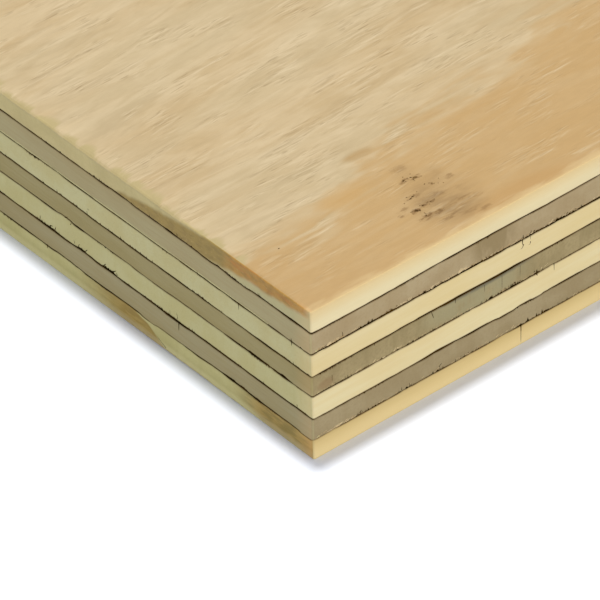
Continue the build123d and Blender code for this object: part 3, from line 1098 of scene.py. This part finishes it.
for side, last, number in HAIR_RUNS:
    for _ in range(number):
        line = draw.choice(LONG_LINES if side.endswith("long") else END_LINES)
        along = draw.uniform(0.6, last) * MM
        if noise.noise(Vector((along / (6 * MM), 9.0 * line, 2.0))) < 0.0:
            continue
        height = on_line(line_centre, line, side, along)
        matrix = on_side(side, along, height, draw.gauss(1.2, 0.5), HAIR_DEPTH)
        length, width = draw.uniform(0.15, 0.45) * MM, draw.uniform(0.04, 0.08) * MM
        add_blade(bm, matrix, length, width, draw.gauss(0.0, 0.6))
glue_hairs = add_object("glue_hairs", bm)
print("hairs", len(glue_hairs.data.polygons))

# %% [markdown]
# Dark flecks of pitch and dirt lie on the face near the photographed corner, drawn out along the grain.
# They could be colour only, like the smudge, but small lumps keep a crisp edge from near and far.

# %% Flecks on the face
FLECKS = [  # along and across the grain from the corner, length and width, mm
    (21.6, 9.55, 0.55, 0.26), (20.4, 9.85, 0.35, 0.2), (21.3, 9.8, 0.2, 0.12), (19.4, 7.35, 0.3, 0.12),
    (19.1, 7.25, 0.2, 0.1), (18.2, 5.4, 0.4, 0.28), (18.45, 5.2, 0.2, 0.16), (19.2, 5.6, 0.2, 0.12),
    (20.2, 5.6, 0.2, 0.12), (18.4, 4.2, 0.2, 0.12), (22.2, 7.7, 0.2, 0.12), (4.3, 9.75, 0.2, 0.12),
]
IN_SMUDGE = 11  # this many of them lie in the smudge, and specks lie around those
SPECKS = 30
FLECK_HEIGHT = 0.4 * PROUD_ROOM
bm = bmesh.new()

def add_fleck(along, across, length, width):
    """Joins a low lump on the face, with an uneven outline, to the flecks."""
    lump = bmesh.new()
    made = bmesh.ops.create_icosphere(lump, subdivisions=2, radius=0.5)
    for vert in made["verts"]:
        vert.co *= 1.0 + 0.9 * noise.noise(vert.co * 1.6 + Vector((along, across, 0.0)))
    middle = Matrix.Translation((along * MM - HALF_X, across * MM - HALF_Y, cad_high.z - PROUD_ROOM))
    turned = Matrix.Rotation(draw.gauss(SLANT["X"], 0.25), 4, "Z")
    shape = Matrix.Diagonal((length * MM, width * MM, FLECK_HEIGHT, 1.0))
    bmesh.ops.transform(lump, matrix=middle @ turned @ shape, verts=lump.verts)
    join(bm, lump)

for fleck in FLECKS:
    add_fleck(*fleck)
for _ in range(SPECKS):
    along, across, length, width = draw.choice(FLECKS[:IN_SMUDGE])
    along, across = draw.gauss(along, 0.5), draw.gauss(across, 0.25)
    add_fleck(along, across, draw.uniform(0.08, 0.2), draw.uniform(0.05, 0.09))
pitch_flecks = add_object("pitch_flecks", bm)
print("flecks", len(pitch_flecks.data.polygons))

# %% [markdown]
# The loose fibres are pale, as their insides have seen no light, and greener on the end side than on the
# long side. The flecks are dried pitch with dust in it, brown where it is thin and darker where it is
# thick. The hairs share the finish of the glue.

# %% Finishes of the small pieces
# torn, not cut: a pale dull fluff
fibre_finish, tree, shader = new_material("torn_wood_fibre", 0.8)
place, bent = wood_place(tree, "X")
shade = streaks(tree, bent, 1.5, 1.5, 1.5, 0.35, 0.65)
fibre = coat(tree, "c6ae80", "94794c", 1.0, shade)
along = add_node(tree, "SeparateXYZ", {0: place})
fibre = coat(tree, fibre, "bcb27c", 1.0, (along, (0.6, 1.0), (1.0, 0.0)))
tree.links.new(fibre, shader.inputs["Base Color"])
# oozed, dried and dusted over: dark brown, with hardly any gloss left
pitch_finish, tree, shader = new_material("dried_pitch_and_dust", 0.8)
shader.inputs["Specular IOR Level"].default_value = 0.1
place, bent = wood_place(tree, "X")
shade = streaks(tree, bent, 0.8, 0.5, 0.5, 0.40, 0.65)
tree.links.new(coat(tree, "4a3416", "745a32", 1.0, shade), shader.inputs["Base Color"])
small_pieces = [
    (torn_fibres, fibre_finish, "pale_veneer"),
    (glue_hairs, glue_finish, "glue"),
    (pitch_flecks, pitch_finish, "pale_veneer"),
]
for piece, finish, slot in small_pieces:
    piece.data.materials.append(finish)
    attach(piece, "root")
print("small pieces", [piece.name for piece, finish, slot in small_pieces])
